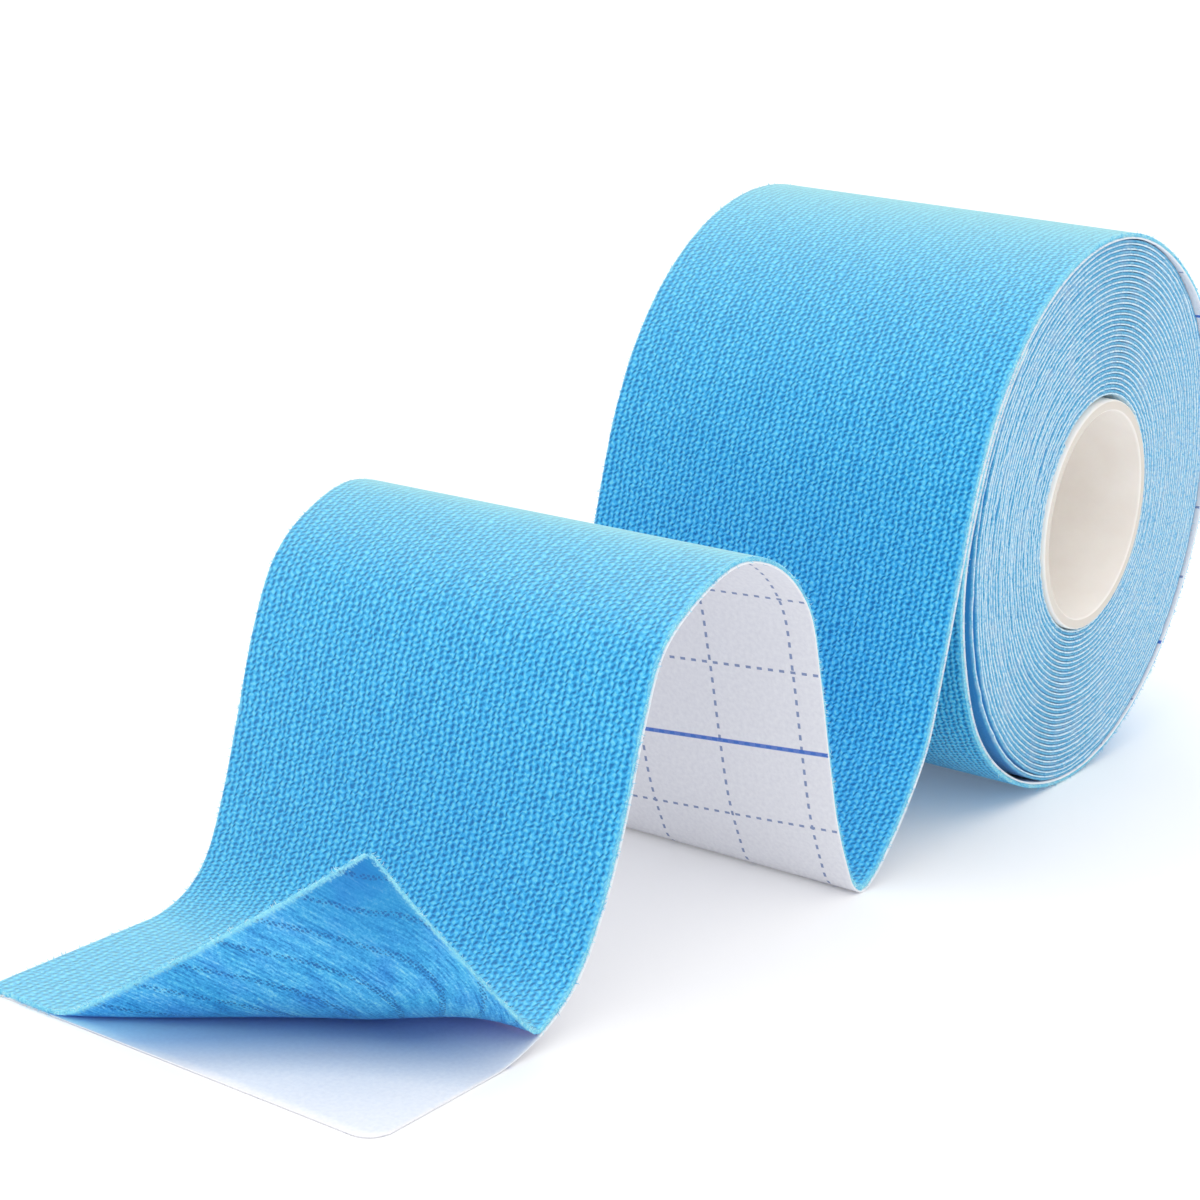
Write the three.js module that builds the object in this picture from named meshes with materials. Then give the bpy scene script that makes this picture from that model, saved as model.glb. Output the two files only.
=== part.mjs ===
// A roll of woven elastic sports tape standing on its rim, with its loose end pulled out along the floor.
// Units are millimetres, +Z is up, the roll's axis runs along Y and the loose end lies towards -X.
// The origin is the middle of the footprint, on the floor.
import * as THREE from 'three';

// The roll
const tapeWidth = 50;
const rollRadius = 35.3;
const flatDrop = 0.25; // the roll sits this much lower than its radius, on a small flat spot
const coreRadius = 14.6;
const coreWall = 1.4;
const coreLip = 0.35; // rounding of the tube's rims
const axisHeight = rollRadius - flatDrop;
const nearSide = -tapeWidth / 2;
const roundSteps = 72; // facets of the tube and of the bore around it
const outlineStep = 2; // degrees between the points of the roll's outline

const finish = {
  core: new THREE.MeshStandardMaterial({ color: 0xefe8d8, roughness: 0.75, metalness: 0 }),
  wound: new THREE.MeshStandardMaterial({ color: 0x7fb9dc, roughness: 0.9, metalness: 0 }),
  tape: new THREE.MeshStandardMaterial({ color: 0x4fb4f0, roughness: 0.9, metalness: 0 }),
  paper: new THREE.MeshStandardMaterial({ color: 0xf4f4f6, roughness: 0.6, metalness: 0 }),
};

// The loose end is two sheets, the woven tape outside and its release paper inside
const sheetThickness = 1;
const airGap = 0.3;
const sheetOffset = (sheetThickness + airGap) / 2; // from the middle of the pair to each sheet's own middle
const halfPair = sheetOffset + sheetThickness / 2;

// Where the loose end starts on the roll and where it lifts off, in degrees from +X, turning over the top,
// in how many rows, and the row by which it is well clear of the roll
const loose = { start: 120, lift: 158, arcRows: 3, clearRow: 7 };

// The last turn but one hangs slack over the lower left, which leaves a crescent of air behind it
const slack = { from: 172, to: 254, bulge: 0.95, air: 2.5, wall: 1, airFrom: 186, step: 4 };

// The way the loose end runs, a row for each bend: x and z of the near edge (z above its height when flat),
// how far the near edge has drifted inwards, and how far the far edge lies from the near one in x and z
const folds = [
  { x: -34.5, z: 39.0, drift: 0.0, farX: 0.0, farZ: 0.0 }, // clear of the roll
  { x: -36.7, z: 31.0, drift: 0.0, farX: 0.0, farZ: 0.0 },
  { x: -39.2, z: 21.8, drift: 0.0, farX: 0.0, farZ: 0.0 },
  { x: -41.5, z: 13.6, drift: 0.0, farX: 0.0, farZ: 0.0 },
  { x: -45.5, z: 7.0, drift: 0.1, farX: 0.0, farZ: 0.0 },
  { x: -50.0, z: 2.2, drift: 0.3, farX: 0.0, farZ: 0.0 },
  { x: -52.4, z: 0.0, drift: 0.5, farX: 0.0, farZ: 0.0 }, // valley, resting on the floor
  { x: -54.2, z: 0.0, drift: 0.6, farX: 0.0, farZ: 0.0 },
  { x: -56.2, z: 2.6, drift: 0.8, farX: -0.2, farZ: 0.0 },
  { x: -59.3, z: 9.6, drift: 1.2, farX: -0.5, farZ: 0.0 },
  { x: -61.1, z: 17.0, drift: 1.8, farX: -0.8, farZ: 0.0 },
  { x: -63.3, z: 27.1, drift: 2.6, farX: -1.2, farZ: 0.0 }, // back of the hump
  { x: -66.0, z: 35.2, drift: 3.1, farX: -1.5, farZ: -0.2 },
  { x: -72.0, z: 40.8, drift: 3.5, farX: -1.6, farZ: -0.3 },
  { x: -80.5, z: 43.1, drift: 3.7, farX: -1.5, farZ: -0.3 }, // crest of the hump
  { x: -89.5, z: 40.3, drift: 3.7, farX: -0.6, farZ: -0.1 },
  { x: -94.7, z: 36.4, drift: 3.7, farX: 0.1, farZ: 0.0 },
  { x: -97.4, z: 29.5, drift: 3.7, farX: -0.2, farZ: 0.0 },
  { x: -99.9, z: 19.8, drift: 3.7, farX: -0.1, farZ: 0.0 },
  { x: -103.0, z: 11.5, drift: 3.7, farX: 0.9, farZ: 0.0 },
  { x: -108.0, z: 4.6, drift: 3.7, farX: 2.6, farZ: 0.0 },
  { x: -117.4, z: 0.0, drift: 3.7, farX: 6.4, farZ: 0.0 }, // down on the floor
  { x: -128.0, z: 0.0, drift: 3.7, farX: 4.2, farZ: 0.0 },
  { x: -139.4, z: 0.0, drift: 3.7, farX: 1.9, farZ: 0.0 }, // the cut end
];
const cut = folds[folds.length - 1];
const stepsPerFold = 3;
const slantFolds = 5; // the rows of points turn to a slanted end over this many folds
const paperCorner = 2.5; // rounding of the paper's near corner

// The near corner of the tape is peeled off the paper and stands up along a bowed line
const peel = {
  nearX: -112.6, // where the line meets the near edge
  share: 0.8, // how much of the cut end is lifted, counted from the near edge
  bow: 4, // the line's bend away from the corner
  lean: 76, // degrees between the standing flap and the floor
  bend: 3, // smallest radius of the bend
  twist: 2.5, // how far the flap's corner is pulled along the line
  columns: 7,
  rows: [0.06, 0.12, 0.18, 0.24, 0.31, 0.4, 0.55, 0.75, 0.95], // shares of the way to the corner, left blunt
};

const footprint = { x: (rollRadius + cut.x) / 2, y: cut.drift / 2 };

function onRoll(radius, angle) {
  const turn = THREE.MathUtils.degToRad(angle);
  return new THREE.Vector3(radius * Math.cos(turn), 0, axisHeight + radius * Math.sin(turn));
}

// Two smooth curves, one along each long edge, through the same rows
function makeEdges() {
  const near = [];
  const far = [];
  for (let i = 0; i <= loose.arcRows; i++) {
    const angle = loose.start + ((loose.lift - loose.start) * i) / loose.arcRows;
    const point = onRoll(rollRadius - halfPair, angle);
    near.push(point.clone().setY(nearSide));
    far.push(point.clone().setY(nearSide + tapeWidth));
  }
  for (const fold of folds) {
    const y = nearSide + fold.drift;
    const z = halfPair + fold.z;
    near.push(new THREE.Vector3(fold.x, y, z));
    far.push(new THREE.Vector3(fold.x + fold.farX, y + tapeWidth, z + fold.farZ));
  }
  return {
    near: new THREE.CatmullRomCurve3(near, false, 'centripetal'),
    far: new THREE.CatmullRomCurve3(far, false, 'centripetal'),
    rows: near.length - 1,
  };
}

const edges = makeEdges();

// The pair's middle surface: row counts the bends along the tape, across runs from 0 at the near edge to 1
function middle(row, across) {
  const t = THREE.MathUtils.clamp(row / edges.rows, 0, 1);
  return edges.near.getPoint(t).lerp(edges.far.getPoint(t), across);
}

// The direction out of the woven side
function outward(row, across) {
  const small = 0.02;
  const before = middle(Math.max(row - small, 0), across);
  const after = middle(Math.min(row + small, edges.rows), across);
  const over = middle(row, 1).sub(middle(row, 0));
  return over.cross(after.sub(before)).normalize();
}

function surface(row, across, offset) {
  return middle(row, across).addScaledVector(outward(row, across), offset);
}

// The row at which a line at one share of the width reaches a given x, near the cut end
function rowAtX(x, across) {
  const close = 1e-6;
  let low = edges.rows - slantFolds;
  let high = edges.rows;
  while (high - low > close) {
    const half = (low + high) / 2;
    if (middle(half, across).x > x) low = half;
    else high = half;
  }
  return high;
}

// A sheet's points with their normals, in rows of point numbers: lastRow(across) says where each column ends
function sheetGrid(across, lastRow, offset) {
  const sheet = { points: [], normals: [], rows: [] };
  const slantFrom = edges.rows - slantFolds;
  for (let i = 0; i <= edges.rows * stepsPerFold; i++) {
    const plain = i / stepsPerFold;
    const share = Math.max(0, (plain - slantFrom) / slantFolds);
    sheet.rows.push(across.map((w) => {
      const row = share > 0 ? slantFrom + (lastRow(w) - slantFrom) * share : plain;
      sheet.points.push(surface(row, w, offset));
      sheet.normals.push(outward(row, w));
      return sheet.points.length - 1;
    }));
  }
  return sheet;
}

function quads(rows) {
  const faces = [];
  for (let i = 1; i < rows.length; i++) {
    for (let j = 1; j < rows[i].length; j++) {
      faces.push([rows[i - 1][j - 1], rows[i - 1][j], rows[i][j], rows[i][j - 1]]);
    }
  }
  return faces;
}

// A thin closed solid: the faces moved half the thickness to each side, with a wall along every open edge
function thickened(points, normals, faces) {
  const position = [];
  for (const side of [1, -1]) {
    points.forEach((point, i) => {
      const moved = point.clone().addScaledVector(normals[i], (side * sheetThickness) / 2);
      position.push(moved.x, moved.y, Math.max(moved.z, 0));
    });
  }
  const under = points.length;
  const index = [];
  const open = new Map();
  for (const face of faces) {
    face.forEach((a, i) => {
      const b = face[(i + 1) % face.length];
      if (!open.delete(`${b} ${a}`)) open.set(`${a} ${b}`, [a, b]);
    });
    for (let i = 2; i < face.length; i++) {
      index.push(face[0], face[i - 1], face[i]);
      index.push(under + face[0], under + face[i], under + face[i - 1]);
    }
  }
  for (const [a, b] of open.values()) {
    index.push(b, a, under + a);
    index.push(b, under + a, under + b);
  }
  const geometry = new THREE.BufferGeometry();
  geometry.setAttribute('position', new THREE.Float32BufferAttribute(position, 3));
  geometry.setIndex(index);
  geometry.computeVertexNormals();
  return geometry;
}

// How far the slack has built up at an angle of the roll, from 0 to 1
function slackShare(angle) {
  const t = (angle - slack.from) / (slack.to - slack.from);
  return t > 0 && t < 1 ? Math.sin(Math.PI * t) : 0;
}

function woundRadius(angle) {
  return rollRadius + slack.bulge * slackShare(angle);
}

// The loose end's inner face round the roll, as angles with radii, from its start to where it is well clear
function coverFace() {
  const face = [];
  for (let i = 0; i <= loose.clearRow * stepsPerFold; i++) {
    const point = surface(i / stepsPerFold, 0, -halfPair);
    const turn = THREE.MathUtils.radToDeg(Math.atan2(point.z - axisHeight, point.x));
    face.push({ angle: turn < 0 ? turn + 360 : turn, radius: Math.hypot(point.x, point.z - axisHeight) });
  }
  return face;
}

// The largest radius that the wound form may have at an angle, a gap inside the loose end
function freeRadius(angle, face) {
  if (angle < loose.start - outlineStep / 2) return Infinity;
  for (let i = 1; i < face.length; i++) {
    const before = face[i - 1];
    const after = face[i];
    if (after.angle < angle) continue;
    const share = THREE.MathUtils.clamp((angle - before.angle) / (after.angle - before.angle), 0, 1);
    return before.radius + (after.radius - before.radius) * share - airGap;
  }
  return Infinity;
}

function flatPath(points) {
  return points.map((point) => new THREE.Vector2(point.x, Math.max(point.z, 0)));
}

function makeWoundTape() {
  const face = coverFace();
  const outline = [];
  for (let angle = -90; angle < 270; angle += outlineStep) {
    if (angle === loose.start) {
      const floor = face[0].radius - airGap;
      const wall = angle - THREE.MathUtils.radToDeg((1.5 * airGap) / floor); // the groove's end wall
      outline.push(onRoll(rollRadius, wall), onRoll(floor, wall));
    }
    outline.push(onRoll(Math.min(woundRadius(angle), freeRadius(angle, face)), angle));
  }
  const shape = new THREE.Shape(flatPath(outline));

  const bore = new THREE.Path();
  bore.absarc(0, axisHeight, coreRadius + airGap, 0, Math.PI * 2, true);
  shape.holes.push(bore);

  const outer = [];
  const inner = [];
  for (let angle = slack.airFrom; angle < slack.to; angle += slack.step) {
    const radius = woundRadius(angle) - slack.wall;
    outer.push(onRoll(radius, angle));
    inner.unshift(onRoll(radius - slack.air * slackShare(angle), angle));
  }
  shape.holes.push(new THREE.Path(flatPath([...outer, ...inner])));

  const length = { depth: tapeWidth, bevelEnabled: false, curveSegments: roundSteps };
  const geometry = new THREE.ExtrudeGeometry(shape, length);
  const wound = new THREE.Mesh(geometry, finish.wound);
  wound.rotation.x = Math.PI / 2;
  wound.position.y = nearSide + tapeWidth;
  return wound;
}

function makeCoreTube() {
  const inner = coreRadius - coreWall;
  const end = tapeWidth / 2;
  const profile = [
    [inner + coreLip, -end], [coreRadius - coreLip, -end], [coreRadius, -end + coreLip],
    [coreRadius, end - coreLip], [coreRadius - coreLip, end], [inner + coreLip, end],
    [inner, end - coreLip], [inner, -end + coreLip], [inner + coreLip, -end],
  ].map(([radius, height]) => new THREE.Vector2(radius, height));
  const core = new THREE.Mesh(new THREE.LatheGeometry(profile, roundSteps), finish.core);
  core.position.z = axisHeight;
  return core;
}

// Shares of the width where both sheets have their columns of points, so that they bend alike
function looseColumns() {
  const across = [];
  for (let j = 0; j <= peel.columns; j++) across.push((peel.share * j) / peel.columns);
  return [...across, (peel.share + 1) / 2, 1];
}

function makeReleasePaper() {
  const across = [0, 0.008, 0.025, 0.05, ...looseColumns().slice(1)];
  const sheet = sheetGrid(across, (w) => {
    const short = Math.max(0, paperCorner - w * tapeWidth);
    const rounding = paperCorner - Math.sqrt(paperCorner ** 2 - short ** 2);
    return rowAtX(cut.x + cut.farX * w + rounding, w);
  }, -sheetOffset);
  return new THREE.Mesh(thickened(sheet.points, sheet.normals, quads(sheet.rows)), finish.paper);
}

// The bow of the peel line at a share of its length
function peelBow(share) {
  return 4 * peel.bow * share * (1 - share);
}

function makeLooseTape() {
  const nearY = nearSide + cut.drift;
  const corner = new THREE.Vector2(cut.x, nearY);
  const nearEnd = new THREE.Vector2(peel.nearX, nearY);
  const farEnd = new THREE.Vector2(cut.x + cut.farX * peel.share, nearY + peel.share * tapeWidth);
  const line = farEnd.clone().sub(nearEnd);
  const along = line.clone().normalize();
  const away = new THREE.Vector2(-along.y, along.x); // towards the corner, square to the line

  // The part still on its paper ends at the peel line, and beyond that line at the cut
  const sheet = sheetGrid(looseColumns(), (w) => {
    const share = Math.min(w / peel.share, 1);
    const x = share < 1 ? nearEnd.x + line.x * share - peelBow(share) / away.x : cut.x + cut.farX * w;
    return rowAtX(x, w);
  }, sheetOffset);
  const faces = quads(sheet.rows);

  // The flap's rows run from the peel line to the corner, bent up round the line
  const lean = THREE.MathUtils.degToRad(peel.lean);
  const reach = line.length();
  const cornerAway = corner.clone().sub(nearEnd).dot(away);
  const peelRow = sheet.rows[sheet.rows.length - 1].slice(0, peel.columns + 1);
  const flap = [peelRow];
  for (const t of peel.rows) {
    flap.push(peelRow.map((start) => {
      const from = sheet.points[start];
      const flat = new THREE.Vector2(from.x, from.y).lerp(corner, t).sub(nearEnd);
      const bow = peelBow(THREE.MathUtils.clamp(flat.dot(along) / reach, 0, 1));
      const radius = peel.bend + bow / Math.tan(lean / 2);
      const travel = Math.max(flat.dot(away) + bow, 0);
      const turn = Math.min(travel / radius, lean);
      const straight = travel - radius * turn;
      const out = radius * Math.sin(turn) + straight * Math.cos(turn) - bow;
      const side = flat.dot(along) + (peel.twist * straight) / cornerAway;
      const spot = nearEnd.clone().addScaledVector(along, side).addScaledVector(away, out);
      const rise = radius * (1 - Math.cos(turn)) + straight * Math.sin(turn);
      sheet.points.push(new THREE.Vector3(spot.x, spot.y, from.z + rise));
      sheet.normals.push(new THREE.Vector3(-away.x * Math.sin(turn), -away.y * Math.sin(turn), Math.cos(turn)));
      return sheet.points.length - 1;
    }));
  }
  faces.push(...quads(flap));
  return new THREE.Mesh(thickened(sheet.points, sheet.normals, faces), finish.tape);
}

const pieces = {
  core_tube: makeCoreTube(),
  wound_tape: makeWoundTape(),
  loose_tape: makeLooseTape(),
  release_paper: makeReleasePaper(),
};

const tapeRoll = new THREE.Group();
for (const [name, mesh] of Object.entries(pieces)) {
  mesh.name = name;
  tapeRoll.add(mesh);
}
tapeRoll.position.set(-footprint.x, -footprint.y, 0);

export default tapeRoll;
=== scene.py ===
import bpy
import math
from collections import namedtuple
from functools import partial
from mathutils import Matrix, Vector


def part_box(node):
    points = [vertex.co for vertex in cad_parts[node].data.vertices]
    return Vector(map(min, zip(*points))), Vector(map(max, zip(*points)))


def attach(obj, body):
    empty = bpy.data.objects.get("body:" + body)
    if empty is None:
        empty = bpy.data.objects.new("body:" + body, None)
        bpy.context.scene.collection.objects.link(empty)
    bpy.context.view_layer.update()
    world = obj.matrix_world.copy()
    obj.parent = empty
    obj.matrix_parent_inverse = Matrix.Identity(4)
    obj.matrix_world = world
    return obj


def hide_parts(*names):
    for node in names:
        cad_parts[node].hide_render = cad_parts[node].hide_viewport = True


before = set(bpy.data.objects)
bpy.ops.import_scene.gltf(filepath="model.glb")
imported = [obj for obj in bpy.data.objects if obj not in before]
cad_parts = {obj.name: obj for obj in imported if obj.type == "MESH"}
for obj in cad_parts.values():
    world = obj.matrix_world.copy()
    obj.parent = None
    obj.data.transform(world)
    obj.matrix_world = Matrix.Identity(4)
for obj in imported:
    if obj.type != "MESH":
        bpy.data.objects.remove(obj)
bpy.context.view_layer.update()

mm = 0.001
body = "root"
coreLow, coreHigh = (Vector(corner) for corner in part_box("core_tube"))
rollAxis = (coreLow + coreHigh) / 2  # middle of the roll, half way along its width


def fromAxis(x, y, z):
    # millimetres from the roll's axis and the middle of its width, with z up from the floor
    return Vector((rollAxis.x + x * mm, rollAxis.y + y * mm, z * mm))


# Camera: low, from the loose end's side, with the near side face turned well away

camera = {
    "azimuth": -57.08,
    "elevation": 15.6,
    "roll": 3.3,
    "distance": 323.1,
    "aim": (-73.66, 0.0, 33.75),
    "focalPixels": 2949,
    "framePixels": 1200,
    "sensor": 36.0,
    "clip": (0.01, 20),
}


def makeCamera():
    azimuth = math.radians(camera["azimuth"])
    elevation = math.radians(camera["elevation"])
    back = Vector((
        math.sin(azimuth) * math.cos(elevation),
        -math.cos(azimuth) * math.cos(elevation),
        math.sin(elevation),
    ))
    level = Vector((0, 0, 1)).cross(back).normalized()
    right = Matrix.Rotation(math.radians(camera["roll"]), 3, back) @ level
    up = back.cross(right)
    data = bpy.data.cameras.new("camera")
    data.sensor_width = camera["sensor"]
    data.lens = camera["sensor"] * camera["focalPixels"] / camera["framePixels"]
    data.clip_start, data.clip_end = camera["clip"]
    cameraObject = bpy.data.objects.new("camera", data)
    spot = fromAxis(*camera["aim"]) + back * camera["distance"] * mm
    facing = Matrix((right, up, back)).transposed().to_4x4()
    cameraObject.matrix_world = Matrix.Translation(spot) @ facing
    bpy.context.collection.objects.link(cameraObject)
    bpy.context.scene.camera = cameraObject


makeCamera()
print("camera placed")


# Colours and nodes


def hexColour(code):
    # sRGB hex to the linear values that Blender's sockets take
    channels = [int(code[i:i + 2], 16) / 255 for i in (1, 3, 5)]
    linear = [c / 12.92 if c <= 0.04045 else ((c + 0.055) / 1.055) ** 2.4 for c in channels]
    return (*linear, 1.0)


def addNode(tree, kind, inputs=(), stops=(), **settings):
    # inputs: in order or by name, each a plain value, a hex colour, a socket, or a node for its first output
    # stops: a colour ramp's positions, each with its hex colour
    node = tree.nodes.new(kind)
    for name, value in settings.items():
        setattr(node, name, value)
    for key, value in inputs.items() if isinstance(inputs, dict) else enumerate(inputs):
        if isinstance(value, bpy.types.Node):
            value = next(socket for socket in value.outputs if socket.enabled)
        if isinstance(value, bpy.types.NodeSocket):
            tree.links.new(value, node.inputs[key])
        elif isinstance(value, str) and value.startswith("#"):
            node.inputs[key].default_value = hexColour(value)
        else:
            node.inputs[key].default_value = value
    for i, (position, code) in enumerate(stops):
        elements = node.color_ramp.elements
        element = elements[i] if i < 2 else elements.new(1.0)
        element.position = position
        element.color = hexColour(code)
    return node


def newMaterial(name):
    material = bpy.data.materials.new(name)
    material.use_nodes = True
    material.node_tree.nodes.clear()
    return material, partial(addNode, material.node_tree)


def finishMaterial(add, colour, height, relief, **sockets):
    # one shader with a bump of so many millimetres; sockets are the shader's own
    bump = add("ShaderNodeBump", {"Height": height, "Strength": 1.0, "Distance": relief * mm})
    named = {name.replace("_", " "): value for name, value in sockets.items()}
    shader = add("ShaderNodeBsdfPrincipled", {"Base Color": colour, "Normal": bump, **named})
    add("ShaderNodeOutputMaterial", {"Surface": shader})


def stripMillimetres(add):
    # the strip's own map: how far along it and how far across, in millimetres
    flat = add("ShaderNodeUVMap", uv_map="strip")
    return add("ShaderNodeVectorMath", [flat, (1000, 1000, 1000)], operation="MULTIPLY")


def stripEdge(add, across):
    # millimetres in from the nearer long edge
    half = strip["width"] / 2
    aside = add("ShaderNodeMath", [across, half], operation="SUBTRACT")
    aside = add("ShaderNodeMath", [aside], operation="ABSOLUTE")
    return add("ShaderNodeMath", [half, aside], operation="SUBTRACT")


# Woven tape: cotton over stretched elastic yarn in a plain weave. The floats run together in a pale net with
# small dark pits in staggered rows, their darkness painted shade in the hollows, under a short fuzz with a
# painted highlight that pales it at a glancing angle where it faces up.

weave = {
    "cord": 0.789,  # mm between lengthwise cords
    "float": 0.72,  # mm between floats on one cord
    "step": 0.535,  # share of a float by which the next cord's floats lie further on
    "slants": [(0, 0.7), (1, -0.22), (-1, 0.38)],  # whole floats added to the step, and how much it shows
    "pit": 0.24,  # how deep and dark the waves cut
    "wander": 0.24,  # mm that a yarn strays
    "bends": 0.9,  # of a yarn in a millimetre
    "relief": 0.2,  # mm
    "tufts": 2.5,  # loose fibre ends in a millimetre
    "tuftColour": 1.1,  # how much they change the colour and the height
    "tuftHeight": 0.5,
    "slubs": (0.12, 1.3, 1.0),  # in a millimetre, along a yarn and across the yarns
    "selvedge": 0.3,  # mm, and the share of it over which it blurs into the face
    "selvedgeBlur": 0.3,
    "fuzzHighlightStart": 1.5,  # how late the fuzz's painted highlight begins as the surface turns away, and how much it pales
    "fuzzHighlightStrength": 0.68,
    "colours": [
        (0.06, "#0874B8"), (0.26, "#1A98D8"), (0.46, "#32B4F0"), (0.64, "#4AC8FF"), (0.86, "#78E2FF"),
    ],
    "dye": [(0.3, "#E6F2FA"), (0.7, "#FFFFFF")],
    "selvedgeColour": "#7CD6FB",
    "fuzzHighlightColour": "#CDFFF4",
    "sheen": "#CCFAFA",
}


def makeWovenTape():
    material, add = newMaterial("woven_cotton_on_elastane")
    flat = stripMillimetres(add)
    noise = add("ShaderNodeTexNoise", {"Vector": flat, "Scale": weave["bends"], "Detail": 2.0})
    stray = add("ShaderNodeVectorMath", [noise.outputs["Color"], (0.5, 0.5, 0.5)], operation="SUBTRACT")
    reach = 4 * weave["wander"]  # this noise strays by about a quarter either way
    shifted = add("ShaderNodeVectorMath", [stray, (reach, reach, 0), flat], operation="MULTIPLY_ADD")
    parts = add("ShaderNodeSeparateXYZ", [shifted])
    floatPhase = add(
        "ShaderNodeMath", [parts.outputs["X"], 2 * math.pi / weave["float"]], operation="MULTIPLY",
    )
    cordPhase = add("ShaderNodeMath", [parts.outputs["Y"], 2 * math.pi / weave["cord"]], operation="MULTIPLY")
    # one wave over the cords and three that slant across them; where they meet there is a pit
    height = add("ShaderNodeMath", [cordPhase], operation="COSINE")
    for floats, strength in weave["slants"]:
        turn = add(
            "ShaderNodeMath", [cordPhase, floats - weave["step"], floatPhase], operation="MULTIPLY_ADD",
        )
        wave = add("ShaderNodeMath", [turn], operation="COSINE")
        height = add("ShaderNodeMath", [wave, strength, height], operation="MULTIPLY_ADD")
    height = add("ShaderNodeMath", [height, -weave["pit"], 0.5], operation="MULTIPLY_ADD")
    # loose fibre ends fill some pits and leave others open
    tufts = add(
        "ShaderNodeTexNoise", {"Vector": flat, "Scale": weave["tufts"], "Detail": 4.0, "Roughness": 0.85},
    )
    filled = add("ShaderNodeMath", [tufts, 0.5], operation="SUBTRACT")
    shade = add("ShaderNodeMath", [filled, weave["tuftColour"], height], operation="MULTIPLY_ADD")
    height = add("ShaderNodeMath", [filled, weave["tuftHeight"], height], operation="MULTIPLY_ADD")
    # the colour follows the height, so the pits are dark: painted shade in the weave's hollows
    colour = add("ShaderNodeValToRGB", [shade], stops=weave["colours"])
    # yarns differ a little in thickness and dye
    longways = add("ShaderNodeMapping", {"Vector": flat, "Scale": weave["slubs"]})
    slub = add("ShaderNodeTexNoise", {"Vector": longways, "Scale": 1.0, "Detail": 3.0})
    tint = add("ShaderNodeValToRGB", [slub], stops=weave["dye"])
    colour = add(
        "ShaderNodeMix", {"Factor": 1.0, "A": colour, "B": tint}, data_type="RGBA", blend_type="MULTIPLY",
    )
    edge = stripEdge(add, parts.outputs["Y"])
    edge = add("ShaderNodeMath", [edge, weave["selvedge"]], operation="DIVIDE")
    inside = add("ShaderNodeMath", [edge, 1.0, weave["selvedgeBlur"]], operation="SMOOTH_MIN")
    colour = add(
        "ShaderNodeMix", {"Factor": inside, "A": weave["selvedgeColour"], "B": colour}, data_type="RGBA",
    )
    # painted highlight: at a glancing angle the colour pales towards the fuzz colour, only where the surface
    # faces up into the light
    glance = add("ShaderNodeLayerWeight", {"Blend": 0.5}).outputs["Facing"]
    paintedHighlight = add("ShaderNodeMath", [glance, weave["fuzzHighlightStart"]], operation="POWER")
    paintedHighlight = add("ShaderNodeMath", [paintedHighlight, weave["fuzzHighlightStrength"]], operation="MULTIPLY")
    upright = add("ShaderNodeSeparateXYZ", [add("ShaderNodeNewGeometry").outputs["Normal"]]).outputs["Z"]
    lit = add("ShaderNodeMapRange", {"Value": upright, "From Min": -0.35, "From Max": 0.45})
    paintedHighlight = add("ShaderNodeMath", [paintedHighlight, lit], operation="MULTIPLY")
    colour = add("ShaderNodeMix", {"Factor": paintedHighlight, "A": colour, "B": weave["fuzzHighlightColour"]}, data_type="RGBA")
    finishMaterial(
        add, colour, height, weave["relief"],
        Roughness=0.85, Specular_IOR_Level=0.25,
        Sheen_Weight=0.45, Sheen_Roughness=0.35, Sheen_Tint=weave["sheen"],
    )
    return material


# Slit edge of the woven tape: cut yarn ends packed side by side, matte and paler than the face, with fine
# dark gaps between them

slitEdge = {
    "tuft": 0.35,  # mm
    "relief": 0.1,
    "buried": 0.3,  # mm in from the edge, over which painted shade deepens the colour of the wound turns
    "worn": 0.33,  # greyer tufts in a millimetre
    # one cut edge in two copies: paler on the loose strip, a painted highlight, and deeper on the wound
    # turns, painted shade
    "litStripColours": [(0.28, "#48AEE2"), (0.45, "#78D4F4"), (0.6, "#A2ECFA"), (0.76, "#DCFFFC")],
    "shadedWoundColours": [(0.28, "#3088BC"), (0.45, "#50A8D6"), (0.6, "#74C2E4"), (0.78, "#B4E4F6")],
    "wornColour": "#A6C2DE",
    "buriedShadeColour": "#2E8ED4",
    "sheen": "#D8F4FF",
}


def makeSlitEdge(name, colours, wound=False):
    material, add = newMaterial(name)
    place = add("ShaderNodeTexCoord").outputs["Object"]
    tufts = add(
        "ShaderNodeTexNoise",
        {"Vector": place, "Scale": 1 / (slitEdge["tuft"] * mm), "Detail": 4.0, "Roughness": 0.75},
    )
    colour = add("ShaderNodeValToRGB", [tufts], stops=colours)
    if wound:
        # handling has left some tufts greyer, and between the turns painted shade deepens the cloth's colour
        worn = add("ShaderNodeTexNoise", {"Vector": place, "Scale": slitEdge["worn"] / mm, "Detail": 2.0})
        grey = add("ShaderNodeMapRange", {"Value": worn, "From Min": 0.5, "From Max": 0.85})
        colour = add(
            "ShaderNodeMix", {"Factor": grey, "A": colour, "B": slitEdge["wornColour"]}, data_type="RGBA",
        )
        inside = stripEdge(add, add("ShaderNodeSeparateXYZ", [stripMillimetres(add)]).outputs["Y"])
        inside = add("ShaderNodeMath", [inside, slitEdge["buried"]], operation="DIVIDE")
        buried = add("ShaderNodeClamp", [inside])
        colour = add(
            "ShaderNodeMix", {"Factor": buried, "A": colour, "B": slitEdge["buriedShadeColour"]}, data_type="RGBA",
        )
    finishMaterial(
        add, colour, tufts, slitEdge["relief"],
        Roughness=0.95, Specular_IOR_Level=0.2, Sheen_Weight=0.3, Sheen_Tint=slitEdge["sheen"],
    )
    return material


# Underside: clear acrylic adhesive rolled on in waves over the lengthwise yarns, so the blue shows through
# with fine streaks and a faint gloss. Each wave ends in a ridge of dark dots, and painted shade deepens the
# blue in the fold.

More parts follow.
